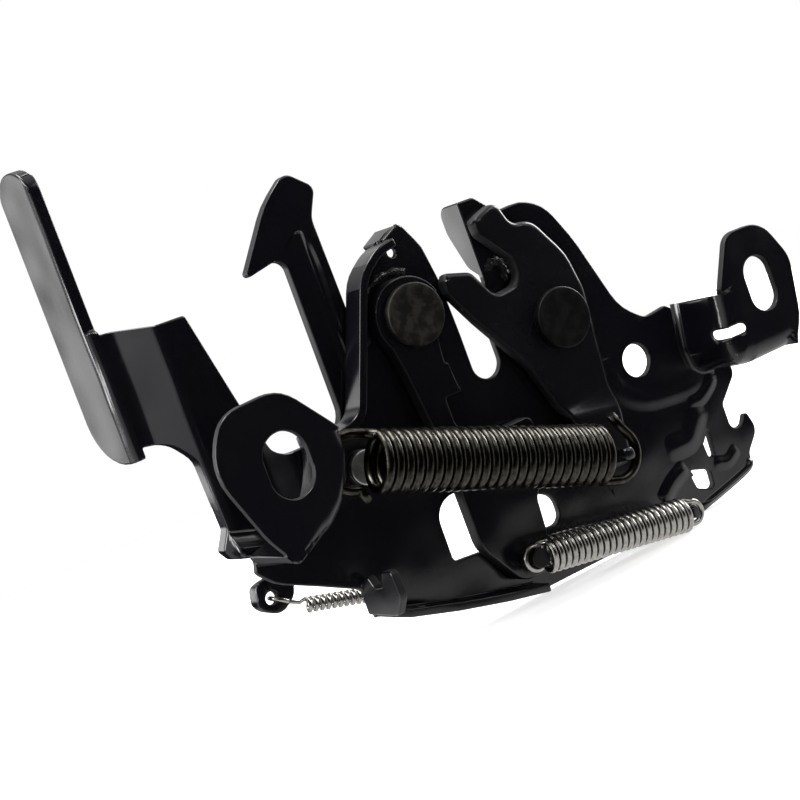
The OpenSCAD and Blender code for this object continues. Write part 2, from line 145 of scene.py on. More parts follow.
def group(name, place, colours, values):
    """Shader node group with a place, two colours and some values coming in, and the three parts of a finish
    going out. Returns the tree, its incoming sockets and its outgoing ones."""
    tree = bpy.data.node_groups.new(name, "ShaderNodeTree")
    tree.interface.new_socket(place, in_out="INPUT", socket_type=VECTOR)
    for label, value in colours.items():
        tree.interface.new_socket(label, in_out="INPUT", socket_type=COLOR).default_value = value
    for label, value in values.items():
        tree.interface.new_socket(label, in_out="INPUT", socket_type=FLOAT).default_value = value
    for label, kind in (("Color", COLOR), ("Roughness", FLOAT), ("Height", FLOAT)):
        tree.interface.new_socket(label, in_out="OUTPUT", socket_type=kind)
    return tree, put(tree, "NodeGroupInput").outputs, put(tree, "NodeGroupOutput").inputs


def dip_coat_group():
    """Dip coat: slow waves and clouds, orange peel and sparse pale specks. The cut edges are rougher and
    torn, and have more specks."""
    colours = {"Base": rgb(0.01, 0.01, 0.01), "Pale": rgb(0.1, 0.1, 0.1)}
    tree, given, out = group("dip coat", "Place", colours, {
        "Gloss": 0.2, "Dull": 0.4, "Speck": 0.2, "Cut": 0.0, "Peel": 0.3, "Wave": 0.0})
    more_specks, more_rough = 1.6, 0.4
    place = given["Place"]
    cells = put(tree, "ShaderNodeTexVoronoi", {"Vector": place, "Scale": 900.0}).outputs["Distance"]
    patches = noise(tree, place, 160.0, 3.0)
    dots = sums(tree, "MULTIPLY", ramp(tree, cells, 0.22, 0.1), ramp(tree, patches, 0.56, 0.7))
    amount = sums(tree, "MULTIPLY_ADD", given["Cut"], more_specks, given["Speck"])
    specks = sums(tree, "MULTIPLY", dots, amount, clamp=True)
    clouds = ramp(tree, noise(tree, place, 55.0, 4.0), 0.35, 0.7)
    rough = mixed(tree, clouds, given["Gloss"], given["Dull"])
    peel = sums(tree, "MULTIPLY", noise(tree, place, 620.0, 2.0), given["Peel"])
    torn = sums(tree, "MULTIPLY", noise(tree, place, 1700.0, 3.0), given["Cut"])
    fine = sums(tree, "ADD", peel, torn)
    waves = noise(tree, place, 42.0, 1.0)
    tree.links.new(tinted(tree, specks, given["Base"], given["Pale"]), out["Color"])
    tree.links.new(sums(tree, "MULTIPLY_ADD", given["Cut"], more_rough, rough, clamp=True), out["Roughness"])
    tree.links.new(sums(tree, "MULTIPLY_ADD", waves, given["Wave"], fine), out["Height"])
    return tree


def turned_group():
    """Turned steel: stains, and fine rings from a noise read along the distance to the Y axis."""
    colours = {"Base": rgb(0.3, 0.3, 0.3), "Worn": rgb(0.5, 0.5, 0.5)}
    tree, given, out = group("turned steel", "Place", colours, {"Gloss": 0.25, "Dull": 0.5})
    stain_share = 0.35
    flat = stretched(tree, given["Place"], (1, 0, 1))
    radius = put(tree, "ShaderNodeVectorMath", {0: flat}, operation="LENGTH").outputs["Value"]
    rings = put(tree, "ShaderNodeTexNoise", {"W": radius, "Scale": 2600.0, "Detail": 3.0},
                noise_dimensions="1D").outputs["Fac"]
    stain = noise(tree, given["Place"], 420.0, 8.0)
    worn = ramp(tree, stain, 0.42, 0.62)
    tree.links.new(tinted(tree, worn, given["Base"], given["Worn"]), out["Color"])
    tree.links.new(mixed(tree, stain, given["Gloss"], given["Dull"]), out["Roughness"])
    tree.links.new(mixed(tree, stain_share, rings, stain), out["Height"])
    return tree


def drawn_wire_group():
    """Drawn wire: die marks and stains along the wire, from noises stretched over its map."""
    colours = {"Base": rgb(0.2, 0.2, 0.2), "Bright": rgb(0.5, 0.5, 0.5)}
    tree, given, out = group("drawn wire", "Map", colours, {"Gloss": 0.2, "Dull": 0.4})
    marks = noise(tree, stretched(tree, given["Map"], (14, 22, 1)), 2.0, 4.0)
    stain = noise(tree, stretched(tree, given["Map"], (2, 90, 1)), 1.0, 4.0)
    bright = ramp(tree, mixed(tree, 0.5, marks, stain), 0.4, 0.64)
    tree.links.new(tinted(tree, bright, given["Base"], given["Bright"]), out["Color"])
    tree.links.new(mixed(tree, stain, given["Gloss"], given["Dull"]), out["Roughness"])
    tree.links.new(marks, out["Height"])
    return tree


DIP_COAT = dip_coat_group()
TURNED = turned_group()
DRAWN = drawn_wire_group()


def finish_shader(name, tree_group, inputs, place, bump, metal, specular=0.5):
    """Material whose colour, roughness and bump come from one of the finish groups. The place is a function
    that gives the group's first input, and the bump is a strength and a distance in metres."""
    made = bpy.data.materials.new(name)
    made.use_nodes = True
    tree = made.node_tree
    tree.nodes.clear()
    values = dict(inputs)
    values["Map" if tree_group is DRAWN else "Place"] = place(tree)
    if tree_group is DIP_COAT:
        values["Cut"] = put(tree, "ShaderNodeAttribute", attribute_name="cut_edge").outputs["Fac"]
    look = put(tree, "ShaderNodeGroup", values, node_tree=tree_group).outputs
    strength, distance = bump
    rise = put(tree, "ShaderNodeBump", {"Height": look["Height"], "Strength": strength, "Distance": distance})
    shader = put(tree, "ShaderNodeBsdfPrincipled", {
        "Base Color": look["Color"], "Roughness": look["Roughness"], "Normal": rise.outputs[0],
        "Metallic": metal, "Specular IOR Level": specular})
    tree.links.new(shader.outputs[0], put(tree, "ShaderNodeOutputMaterial").inputs[0])
    return made


def object_place(tree):
    """Object coordinates."""
    return put(tree, "ShaderNodeTexCoord").outputs["Object"]


def pivot_place(pivot):
    """Object coordinates measured from a pivot."""
    def place(tree):
        moved = put(tree, "ShaderNodeMapping", {"Vector": object_place(tree),
                                                "Location": (-pivot[0] * MM, 0, -pivot[1] * MM)})
        return moved.outputs[0]
    return place


def wire_map(tree):
    """Map of a wire: round it and along it."""
    return put(tree, "ShaderNodeUVMap", uv_map="wire").outputs[0]


def coated(name, base, gloss, dull, speck, peel):
    """Dip-coated sheet steel, its flat faces slightly wavy."""
    return finish_shader(name, DIP_COAT, {
        "Base": base, "Pale": rgb(0.16, 0.16, 0.17), "Gloss": gloss, "Dull": dull, "Speck": speck,
        "Peel": peel, "Wave": 32.0}, object_place, (0.25, 0.0003), 0.0)


def turned_steel(name, pivot, base, worn, gloss, dull, metal, specular=0.5):
    """Turned or pressed steel with rings round its pivot."""
    return finish_shader(name, TURNED, {"Base": base, "Worn": worn, "Gloss": gloss, "Dull": dull},
                         pivot_place(pivot), (0.2, 0.0002), metal, specular=specular)


def spring_wire(name, base, bright, gloss, dull):
    """Spring wire with die marks along it."""
    return finish_shader(name, DRAWN, {"Base": base, "Bright": bright, "Gloss": gloss, "Dull": dull},
                         wire_map, (0.06, 0.0002), 1.0)


black_sheet = coated("gloss black dip coat", rgb(0.003, 0.0028, 0.0045), 0.15, 0.24, 0.06, 0.2)
claw_black = coated("satin black dip coat", rgb(0.003, 0.0029, 0.0046), 0.22, 0.3, 0.08, 0.4)
bare_brown = turned_steel("brown rivet steel", PAWL_PIVOT, rgb(0.003, 0.0027, 0.002),
                          rgb(0.016, 0.014, 0.0095), 0.42, 0.6, 0.2, 0.36)
bare_dark = turned_steel("dark rivet steel", CLAW_PIVOT, rgb(0.0016, 0.0016, 0.0016),
                         rgb(0.0045, 0.0042, 0.004), 0.36, 0.5, 0.1, 0.24)
zinc = turned_steel("zinc plated steel", HOOK_PIVOT, rgb(0.42, 0.42, 0.41), rgb(0.56, 0.56, 0.54),
                    0.3, 0.5, 1.0)
oil_tempered = spring_wire("oil tempered wire", rgb(0.03, 0.028, 0.023), rgb(0.07, 0.066, 0.055), 0.18, 0.3)
bright_wire = spring_wire("zinc plated wire", rgb(0.3, 0.29, 0.27), rgb(0.42, 0.405, 0.38), 0.2, 0.3)
grease = finish_shader("clear grease", DIP_COAT, {
    "Base": rgb(0.012, 0.012, 0.012), "Pale": rgb(0.4, 0.4, 0.4), "Gloss": 0.06, "Dull": 0.2, "Speck": 0.5,
    "Peel": 1.0}, object_place, (0.9, 0.0016), 0.0)


# Pieces

def piece(name, mesh, material, body=None, slot=None, stands_for=()):
    """Links a finished mesh as an object with its material, its body and what it replaces. The slot is not
    used.
    """
    made = bpy.data.objects.new(name, mesh)
    bpy.context.scene.collection.objects.link(made)
    mesh.materials.clear()
    mesh.materials.append(material)
    if body:
        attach(made, body)
    if stands_for:
        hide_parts(*stands_for)
    return made


def numbers(source, field, width=1, kind=float):
    """Field of a mesh's elements as an array, with a row for each element where width is more than one."""
    values = np.empty(len(source) * width, dtype=kind)
    source.foreach_get(field, values)
    return values.reshape(-1, width) if width > 1 else values


def edge_lengths(mesh):
    """Length of each edge in millimetres, and the numbers of its two ends."""
    points = numbers(mesh.vertices, "co", 3)
    ends = numbers(mesh.edges, "vertices", 2, np.int64)
    return np.linalg.norm(points[ends[:, 0]] - points[ends[:, 1]], axis=1) / MM, ends


def mark_cut_faces(mesh, thickness):
    """Writes cut_edge on each face: 1 where two or more of its few sides are as
    long as the sheet is thick."""
    slack, most_sides = 0.06, 8
    starts = numbers(mesh.polygons, "loop_start", kind=np.int64)
    sides = numbers(mesh.loops, "edge_index", kind=np.int64)
    length, _ = edge_lengths(mesh)
    as_thick = (np.abs(length[sides] - thickness) < slack).astype(int)
    cut = np.add.reduceat(as_thick, starts) >= 2
    few = np.diff(np.append(starts, len(sides))) <= most_sides
    layer = mesh.attributes.new("cut_edge", "FLOAT", "FACE")
    layer.data.foreach_set("value", (cut & few).astype(np.float32))


# Two faces that turn by more degrees than this meet at an edge that is rounded
SHARP_TURN = 32


def weigh_edges(mesh):
    """Writes each edge's share of the rounding: all of it where two faces meet at an angle, and none in a
    fold that is rolled already."""
    totals = numbers(mesh.polygons, "loop_total", kind=np.int64)
    faces = np.repeat(np.arange(len(totals)), totals)
    sides = numbers(mesh.loops, "edge_index", kind=np.int64)
    order = np.argsort(sides, kind="stable")
    sides, faces = sides[order], faces[order]
    first = np.searchsorted(sides, np.arange(len(mesh.edges)))
    a, b = faces[first], faces[np.minimum(first + 1, len(faces) - 1)]
    normals = numbers(mesh.polygons, "normal", 3)
    turn = np.degrees(np.arccos(np.clip(np.sum(normals[a] * normals[b], axis=1), -1, 1)))
    ends = numbers(mesh.edges, "vertices", 2, np.int64)
    in_roll = (numbers(mesh.attributes["rolled"].data, "value") > 0)[ends].any(axis=1)
    layer = mesh.attributes.new("bevel_weight_edge", "FLOAT", "EDGE")
    layer.data.foreach_set("value", ((turn > SHARP_TURN) & ~in_roll).astype(np.float32))


def bent_path(corners, per_arc=9):
    """Line of (x, z) points through corners given as (x, z, radius), with an arc of that radius at each inner
    one, or the widest that its two sides leave room for."""
    corners = np.array(corners, float)
    line = [corners[:1, :2]]
    for before, here, after in zip(corners[:-2], corners[1:-1], corners[2:]):
        back, on = before[:2] - here[:2], after[:2] - here[:2]
        longest = 0.49 * min(np.linalg.norm(back), np.linalg.norm(on))
        back, on = back / np.linalg.norm(back), on / np.linalg.norm(on)
        half = math.acos(np.clip(back @ on, -1, 1)) / 2
        run = min(here[2] / math.tan(half), longest)
        middle = (back + on) / np.linalg.norm(back + on)
        centre = here[:2] + middle * run / math.cos(half)
        first, last = here[:2] + back * run - centre, here[:2] + on * run - centre
        a = math.atan2(first[1], first[0])
        turn = (math.atan2(last[1], last[0]) - a + math.pi) % (2 * math.pi) - math.pi
        angle = np.linspace(a, a + turn, per_arc)
        line.append(centre + np.hypot(*first) * np.stack([np.cos(angle), np.sin(angle)], axis=1))
    return np.concatenate(line + [corners[-1:, :2]])


def near_path(points, line, side):
    """Each (x, z) point's distance from a line towards one side, that side's direction, whether the point is
    beside the line, and how much of the line lies ahead of it."""
    past_end = 0.3
    along = np.diff(line, axis=0)
    length = np.linalg.norm(along, axis=1)
    way = along / length[:, None]
    reach = np.sum((points[:, None] - line[:-1]) * way, axis=2)
    foot = line[:-1] + np.clip(reach, 0, length)[:, :, None] * way
    nearest = np.argmin(np.linalg.norm(points[:, None] - foot, axis=2), axis=1)
    rows = np.arange(len(points))
    inward = side * np.stack([-way[:, 1], way[:, 0]], axis=1)[nearest]
    past = np.maximum(-reach[rows, nearest], reach[rows, nearest] - length[nearest])
    distance = np.sum((points - foot[rows, nearest]) * inward, axis=1)
    ahead = np.cumsum(length[::-1])[::-1][nearest] - np.clip(reach[rows, nearest], 0, length[nearest])
    return distance, inward, past < past_end, ahead


# How far the rim of an ear may stand out past its wall, and the longest edge that a rolled fold keeps
PROUD = 1.4
ROLL_STEP = 1.2


def roll_fold(mesh, line, side, full_radius, fade):
    """Draws the sharp fold between an ear and its wall onto an arc: a point nearer than the radius to both
    the ear's front and the wall keeps its depth under the outer skin and goes round the arc's centre. The
    radius shrinks to almost nothing over the last stretch of the line, whose length is fade. Before that, the
    long edges near the fold are halved in a few passes."""
    most_passes, least_share, slack, around, tiny = 8, 0.02, 0.3, 1, 1e-6
    work = bmesh.new()
    work.from_mesh(mesh)
    for _ in range(most_passes):
        work.to_mesh(mesh)
        points = numbers(mesh.vertices, "co", 3) / MM
        from_face = points[:, 1] - EAR_FRONT
        from_wall, inward, beside, ahead = near_path(points[:, [0, 2]], line, side)
        radius = full_radius * np.clip(ahead / max(fade, tiny), least_share, 1)
        depth, reach = np.minimum(from_face, from_wall), np.maximum(from_face, from_wall)
        near = beside & (depth > -PROUD) & (depth < PLATE_T + slack) & (reach < radius + around)
        length, ends = edge_lengths(mesh)
        long_ones = np.flatnonzero((length > ROLL_STEP) & near[ends].any(axis=1))
        if not len(long_ones):
            break
        work.edges.ensure_lookup_table()
        bmesh.ops.subdivide_edges(work, edges=[work.edges[i] for i in long_ones], cuts=1)
        bmesh.ops.triangulate(work, faces=[face for face in work.faces if len(face.verts) > 3])
    work.free()
    arm = np.stack([from_face, from_wall], axis=1) - radius[:, None]
    stretch = (radius - depth) / np.maximum(np.linalg.norm(arm, axis=1), tiny)
    rolled = radius[:, None] + arm * stretch[:, None]
    shift = (rolled[:, 1] - from_wall)[:, None] * inward
    drawn = np.stack([points[:, 0] + shift[:, 0], EAR_FRONT + rolled[:, 0], points[:, 2] + shift[:, 1]],
                     axis=1)
    moved = near & (reach < radius)
    mesh.vertices.foreach_set("co", (np.where(moved[:, None], drawn, points) * MM).ravel())
    mark = mesh.attributes["rolled"].data
    mark.foreach_set("value", np.where(near, 1.0, numbers(mark, "value")).astype(np.float32))
    mesh.update()


def softened(node, material, thickness, radius, steps=3, folds=()):
    """Copy of a CAD node, welded and with flat facets joined, whose folds are rolled and edges rounded."""
    weld, flat_turn = 2e-6, 0.8
    mesh = nodes[node].data.copy()
    work = bmesh.new()
    work.from_mesh(mesh)
    bmesh.ops.remove_doubles(work, verts=work.verts, dist=weld)
    bmesh.ops.dissolve_limit(work, angle_limit=math.radians(flat_turn), verts=work.verts, edges=work.edges)
    work.to_mesh(mesh)
    mark_cut_faces(mesh, thickness)
    work.clear()
    work.from_mesh(mesh)
    bmesh.ops.triangulate(work, faces=work.faces, ngon_method="BEAUTY")
    work.to_mesh(mesh)
    work.free()
    mesh.attributes.new("rolled", "FLOAT", "POINT")
    for fold in folds:
        roll_fold(mesh, *fold)
    weigh_edges(mesh)
    mesh.polygons.foreach_set("use_smooth", np.ones(len(mesh.polygons), bool))
    made = piece(node + "_finish", mesh, material, body_of_node[node], slot_of_node[node], [node])
    edges = made.modifiers.new("rounded edges", "BEVEL")
    edges.width = radius * MM
    edges.segments = steps
    edges.limit_method = "WEIGHT"
    edges.use_clamp_overlap = False
    edges.loop_slide = False
    edges.miter_outer = "MITER_ARC"
    graph = bpy.context.evaluated_depsgraph_get()
    rounded = bpy.data.meshes.new_from_object(made.evaluated_get(graph), preserve_all_data_layers=True,
                                              depsgraph=graph)
    rounded.validate()
    made.modifiers.clear()
    made.data = rounded
    flat = made.modifiers.new("flat faces", "WEIGHTED_NORMAL")
    flat.weight = 50
    return made


# Outer lines of the walls that carry the ears
LEFT_WALL = bent_path([(-54.6, -2.2, 0), (-54.4, -7, 8), (-57, -13.5, 12), (-60.5, -18.6, 10),
                       (-65, -22.3, 8), (-77, -25.7, 0)])
RIGHT_WALL = bent_path([(62.6, -9.4, 0), (60.4, -22, 8), (61.6, -29, 4), (68, -30.2, 12), (82, -30.2, 0)])
# Each fold's line, the side that its wall lies on, its radius and the length over which it fades
EAR_FOLDS = [(LEFT_WALL, -1, 3.6, 10.0), (RIGHT_WALL, 1, 6.0, 0.0)]
SHEET_EDGE = 0.45

softened("base_plate", black_sheet, PLATE_T, SHEET_EDGE, folds=EAR_FOLDS)
softened("pawl", black_sheet, LEVER_T, 0.5)
softened("claw", claw_black, LEVER_T, 1.4, steps=4)
softened("safety_hook", black_sheet, HOOK_T, SHEET_EDGE)
softened("cable_stud", bare_dark, NO_SHEET, 0.25)


def grid_piece(name, rings, material, body, slot, stands_for=(), wire_length=None):
    """Rings of points, closed round, joined into a skin with flat ends. A wire's length gives its map."""
    map_unit = 100
    count, sides = rings.shape[:2]
    i, k = np.meshgrid(np.arange(count - 1), np.arange(sides), indexing="ij")
    a = i * sides + k
    b = i * sides + (k + 1) % sides
    quads = np.stack([a, b, b + sides, a + sides], axis=2).reshape(-1, 4)
    first = list(range(sides - 1, -1, -1))
    last = list(range((count - 1) * sides, count * sides))
    mesh = bpy.data.meshes.new(name)
    mesh.from_pydata((rings.reshape(-1, 3) * MM).tolist(), [], quads.tolist() + [first, last])
    mesh.polygons.foreach_set("use_smooth", np.array([True] * len(quads) + [False, False]))
    if wire_length is not None:
        layer = mesh.uv_layers.new(name="wire")
        across = np.stack([k, k + 1, k + 1, k], axis=2) / sides
        along = wire_length[np.stack([i, i, i + 1, i + 1], axis=2)] / map_unit
        flat_ends = np.zeros((2 * sides, 2))
        values = np.concatenate([np.stack([across, along], axis=3).reshape(-1, 2), flat_ends])
        layer.data.foreach_set("uv", values.astype(np.float32).ravel())
    mesh.update()
    work = bmesh.new()
    work.from_mesh(mesh)
    bmesh.ops.recalc_face_normals(work, faces=work.faces)
    work.to_mesh(mesh)
    work.free()
    return piece(name, mesh, material, body, slot, stands_for)


def turned_piece(name, pivot, outline, material, body, slot, stands_for, sides=96):
    """Outline of (radius, y) points turned about the Y axis through a pivot: x and z are the radius times the
    cosine and the sine of the turn."""
    outline = np.array(outline, float)
    turn = np.linspace(0, 2 * math.pi, sides, endpoint=False)
    rings = np.stack([pivot[0] + outline[:, :1] * np.cos(turn), np.repeat(outline[:, 1:], sides, axis=1),
                      pivot[1] + outline[:, :1] * np.sin(turn)], axis=2)
    return grid_piece(name, rings, material, body, slot, stands_for)


def quarter(centre, radius, start, end, count):
    """Points of an arc in the plane of an outline or section, angles in degrees from its first axis to +Y."""
    angle = np.radians(np.linspace(start, end, count))
    return np.stack([centre[0] + radius * np.cos(angle), centre[1] + radius * np.sin(angle)], axis=1)


def front_rivet(node, pivot, material):
    """Rivet with a flat head in front, rounded at its rim, and a domed end behind the plate."""
    middle, rim, back_rim, under = 0.02, 0.45, 0.3, HEAD_FRONT + HEAD_T
    outline = np.concatenate([
        [[middle, HEAD_FRONT + 0.05], [5.4, HEAD_FRONT + 0.04], [6.6, HEAD_FRONT]],
        quarter((HEAD_R - rim, HEAD_FRONT + rim), rim, -90, 0, 6),
        quarter((HEAD_R - back_rim, under - back_rim), back_rim, 0, 90, 4),
        [[SHANK_R, under], [SHANK_R, PLATE_T], [4.9, PLATE_T]],
        [[4.7, PLATE_T + 0.25], [3.6, PLATE_T + 0.38], [middle, PLATE_T + 0.4]]])
    return turned_piece(node + "_finish", pivot, outline, material, "base", slot_of_node[node], [node])


front_rivet("claw_rivet", CLAW_PIVOT, bare_dark)
front_rivet("pawl_rivet", PAWL_PIVOT, bare_brown)
softened("hook_rivet", zinc, NO_SHEET, 0.4)
for name, pivot in (("claw", CLAW_PIVOT), ("pawl", PAWL_PIVOT), ("hook", HOOK_PIVOT)):
    steel = turned_steel(name + " bush steel", pivot, rgb(0.24, 0.24, 0.23), rgb(0.36, 0.36, 0.34),
                         0.3, 0.5, 1.0)
    for kind in ("bush", "washer", "wave_washer"):
        finishes = nodes[name + "_" + kind].data.materials
        finishes.clear()
        finishes.append(steel)


# Springs

X = np.array([1.0, 0, 0])
Y = np.array([0, 1.0, 0])
Z = np.array([0, 0, 1.0])


def unit(vector):
    """Vector scaled to length 1."""
    vector = np.array(vector, float)
    return vector / np.linalg.norm(vector)


def arc(centre, u, v, radius, start, end, count):
    """Arc about a centre in the plane of u and v, with the outward direction at each point."""
    angle = np.radians(np.linspace(start, end, count))[:, None]
    outward = np.cos(angle) * np.array(u, float) + np.sin(angle) * np.array(v, float)
    return np.array(centre, float) + radius * outward, outward


def helix(x0, x1, radius, start, end, per_turn):
    """Helix about X, its angle in turns from +Z towards -Y, with the outward direction at each point."""
    turn = np.linspace(start, end, int((end - start) * per_turn))
    angle = 2 * math.pi * turn
    outward = np.stack([0 * angle, -np.sin(angle), np.cos(angle)], axis=1)
    spread = np.linspace(x0, x1, len(turn))[:, None] * X
    return spread + radius * outward, outward


def straight(points, outward):
    """Run through points that all share one outward direction."""
    points = np.array(points, float)
    return points, np.repeat(np.array([outward], float), len(points), axis=0)


def spring(name, start, way, runs, wire_d, material, sides):
    """Round wire carried along runs of points: circles across the path, measured from each point's outward
    direction. The runs lie in a frame whose X goes along way from the start."""
    path = np.concatenate([run[0] for run in runs])
    outward = np.concatenate([run[1] for run in runs])
    axis = np.array([way[0], 0, way[1]])
    frame_axes = np.stack([axis, Y, np.cross(axis, Y)])
    path = np.array(start) + path @ frame_axes
    outward = outward @ frame_axes
    tangent = np.gradient(path, axis=0)
    tangent /= np.linalg.norm(tangent, axis=1, keepdims=True)
    outward = outward - np.sum(outward * tangent, axis=1, keepdims=True) * tangent
    outward /= np.linalg.norm(outward, axis=1, keepdims=True)
    sideways = np.cross(tangent, outward)
    turn = np.linspace(0, 2 * math.pi, sides, endpoint=False)[None, :, None]
    rings = path[:, None] + wire_d / 2 * (np.cos(turn) * outward[:, None] + np.sin(turn) * sideways[:, None])
    length = np.concatenate([[0], np.cumsum(np.linalg.norm(np.diff(path, axis=0), axis=1))])
    made = grid_piece(name + "_finish", rings, material, None, slot_of_node[name], [name], length)
    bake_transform(made)
    return made


def main_spring():
    """Main spring: loop round the hole in the left wall, close coil, and the hook round the claw's tongue."""
    y, r, wire_d, left_loop, right_loop = -16.25, 6.75, 2.5, 6.0, 5.2
    loop_at, to = np.array([-53.6, -10.8]), np.array([11.9, -34.7])
    way = unit(to - loop_at)
    start = loop_at + way * left_loop
    run = np.linalg.norm(to - start)
    left, right = np.array([-left_loop, 0, 0]), np.array([run + right_loop, 0, 0])
    runs = [straight([left + [4, 0, -r - 2.5], left + [2.6, 0, -r - 0.9]], -Z),
            arc(left, X, Z, r, 285, 90, 40),
            straight([[-3.5, 0, r], [-2, 0, r]], Z),
            helix(0, run, r, 0.05, 24.45, 30),
            straight([[run + 0.8, 0, -r], [run + 2.4, 0, -r]], -Z),
            arc(right, X, Z, r, -80, 50, 26),
            straight([right + [1.8, 0, r + 0.6], right + [-1, 0, r + 3.4]], unit([1, 0, 1]))]
    spring("main_spring", [start[0], y, start[1]], way, runs, wire_d, oil_tempered,
           14)


def pawl_spring():
    """Pawl spring: loop on the stud of the pawl, close coil, and the loop on the plate's corner tongue."""
    y, r, wire_d, loop_r, left_loop, right_loop = -10.5, 4.0, 1.6, 2.9, 3.0, 2.6
    stud, tongue = np.array([-12.2, -52.8]), np.array([37.6, -60.8])
    way = unit(tongue - stud)
    start, to = stud + way * left_loop, tongue - way * right_loop
    run = np.linalg.norm(to - start)
    left, right = np.array([-left_loop, 0, 0]), np.array([run + right_loop, 0, 0])
    runs = [arc(left, X, Z, loop_r, 300, 80, 30),
            straight([[-1.4, 0, 3.3]], Z),
            helix(0, run, r, 0.07, 22.93, 26),
            straight([[run + 1.2, 0, 3.3]], Z),
            arc(right, X, Z, loop_r, 100, -140, 30)]
    spring("pawl_spring", [start[0], y, start[1]], way, runs, wire_d, bright_wire,
           12)


def hook_spring():
    """Hook spring: loop through the lever's tab, close coil, and the loop on the plate's back tongue."""
    y, r, wire_d, loop_r, play = 9.5, 1.55, 1.1, 2.6, 0.8
    hole, start = np.array([-74.8, -36.8]), np.array([-66.6, -42.2])
    tongue = np.array([-33.6, -51.0])
    way = unit(tongue - start)
    to = tongue - way * (loop_r + play)
    run = np.linalg.norm(to - start)
    across = np.array([-way[1], way[0]])
    local = np.array([(hole - start) @ way, 0, (hole - start) @ across])
    to_coil = -unit(local)
    left, right = local + to_coil * loop_r, np.array([run + loop_r, 0, 0])
    runs = [arc(left, to_coil, Y, loop_r, -60, -270, 26),
            straight([left + to_coil * 2 + Y * loop_r * 0.8, [-1, r * 0.9, r * 0.5]], Y),
            helix(0, run, r, 0, 18, 24),
            straight([[run + 0.8, 0, r]], Z),
            arc(right, X, Z, loop_r, 110, -150, 28)]
    spring("hook_spring", [start[0], y, start[1]], way, runs, wire_d, bright_wire,
           10)


main_spring()
pawl_spring()
hook_spring()


# Pressed and rolled details of the sheets, and the grease

def smooth_path(points, count):
    """Curve through points, each stretch a cubic whose slope at a point follows that point's neighbours."""
    points = np.array(points, float)
    padded = np.vstack([2 * points[0] - points[1], points, 2 * points[-1] - points[-2]])
    at = np.linspace(0, len(points) - 1 - 1e-9, count)
    i = at.astype(int)
    t = (at - i)[:, None]
    a, b, c, d = padded[i], padded[i + 1], padded[i + 2], padded[i + 3]
    square, cube = 2 * a - 5 * b + 4 * c - d, 3 * b - a - 3 * c + d
    return 0.5 * (2 * b + (c - a) * t + square * t ** 2 + cube * t ** 3)


def sideways_of(line):
    """Direction to the left of a line at each of its points."""
    along = np.gradient(line, axis=0)
    along /= np.linalg.norm(along, axis=1, keepdims=True)
    return np.stack([-along[:, 1], along[:, 0]], axis=1)


def from_ends(count, share):
    """Number that grows evenly from 0 at both ends of a row to 1 after a share of its length."""
    u = np.linspace(0, 1, count)
    return np.clip(np.minimum(u, 1 - u) / share, 0, 1)


def pressed_ridge(name, points, half_width, height, face_y, node):
    """Ridge along a curve on a front face: its rise across is half of one plus a cosine, and fades as a sine
    at both ends. Its flat back lies half the height under the face."""
    count, sunk, fading = 72, 0.04, 0.2
    line = smooth_path(points, count)
    fade = np.sin(np.pi / 2 * from_ends(count, fading))
    top = np.linspace(-1, 1, 17)
    across = np.append(top, [1, -1])
    rise = np.append(0.5 + 0.5 * np.cos(np.pi * top), [-0.5, -0.5])
    spot = line[:, None] + half_width * across[None, :, None] * sideways_of(line)[:, None]
    depth = face_y + sunk - height * np.where(rise < 0, rise, rise * fade[:, None])
    rings = np.stack([spot[..., 0], depth, spot[..., 1]], axis=2)
    return grid_piece(name, rings, black_sheet, body_of_node[node], slot_of_node[node])


# Name, half width, height and line of each ridge at the plate's lower right
PLATE_RIDGES = [
    ("plate_boss_step", 4.4, 0.7, [(35, -15.2), (35.3, -22.6), (38, -26.9), (43, -29.8), (50, -31),
                                   (58.9, -31.4), (63.9, -28.4)]),
    ("plate_ear_step", 3.0, 0.8, [(66.3, -31), (64.4, -33.6), (59.6, -36.1), (55.5, -35.6)]),
    ("plate_pocket_step", 4.6, 0.85, [(59, -37.4), (55, -42.4), (51.4, -45.4), (43.6, -45)]),
    ("plate_foot_step", 3.4, 0.8, [(48.4, -51.4), (42.1, -54), (37, -57.6)]),
    ("plate_corner_step", 2.6, 0.7, [(57.2, -54.2), (62, -55.4), (66.6, -53)]),
    ("plate_rim", 1.3, 1.1, [(48, -63.6), (56, -62.2), (67.4, -59.6), (69.4, -57.4)])]
HOOK_BEAD = [(-35.6, 42), (-35.2, 34), (-35.4, 25), (-35.8, 14)]
for name, half_width, height, points in PLATE_RIDGES:
    pressed_ridge(name, points, half_width, height, PLATE_FRONT, "base_plate")
pressed_ridge("hook_bead", HOOK_BEAD, 2.2, 0.6, HOOK_FRONT, "safety_hook")


def swept_section(name, line, section, seat_y, node, end_round=0.0):
    """Closed section of (out, y) points carried along a line of (x, z) points, out being measured to its
    right. Near the ends it shrinks towards the seat as a circle does, over the share end_round."""
    least = 0.35
    section = np.array(section, float)
    into = from_ends(len(line), end_round) if end_round else np.ones(len(line))
    size = (least + (1 - least) * np.sqrt(1 - (1 - into) ** 2))[:, None]
    spot = line[:, None] - (size * section[:, 0])[:, :, None] * sideways_of(line)[:, None]
    depth = seat_y + size * (section[:, 1] - seat_y)
    rings = np.stack([spot[..., 0], depth, spot[..., 1]], axis=2)
    return grid_piece(name, rings, black_sheet, body_of_node[node], slot_of_node[node])


ROOT_R = 1.6
LIP_R = 4.0
LIP_T = 2.4
LIP_FRONT = LEVER_FACE - LIP_R
# How far a section reaches into the sheet that it sits on
INTO_SHEET = 0.3

